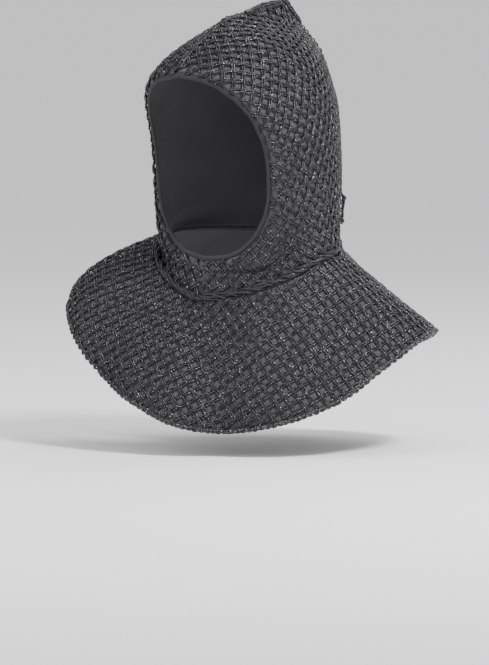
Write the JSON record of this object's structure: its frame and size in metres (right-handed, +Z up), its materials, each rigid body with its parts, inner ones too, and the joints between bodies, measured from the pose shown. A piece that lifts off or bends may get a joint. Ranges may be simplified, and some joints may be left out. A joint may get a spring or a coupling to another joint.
{
  "type": "knight costume hood",
  "caption": "Soft imitation-mail hood with a blunt peak, an oval face opening and a joined shoulder cape, in dark metallic net over a grey lining.",
  "frame": {"origin": "crown seat: the point inside the hood that lies on the top of the wearer's head", "axes": "+Z up, -Y out of the face opening, +X to the wearer's left"},
  "size_m": [0.4049, 0.3554, 0.466],
  "materials": {
    "net": "coarse open net of dark metallic yarn",
    "lining": "matt grey knit lining",
    "binding": "smooth dark cloth"
  },
  "bodies": {
    "root": {"hood_net_left": "net", "hood_net_right": "net", "hood_lining": "lining", "face_facing": "binding", "crown_seam": "net", "neck_seam": "net", "cape_net": "net", "cape_lining": "lining", "cape_hem": "net"}
  },
  "joints": []
}
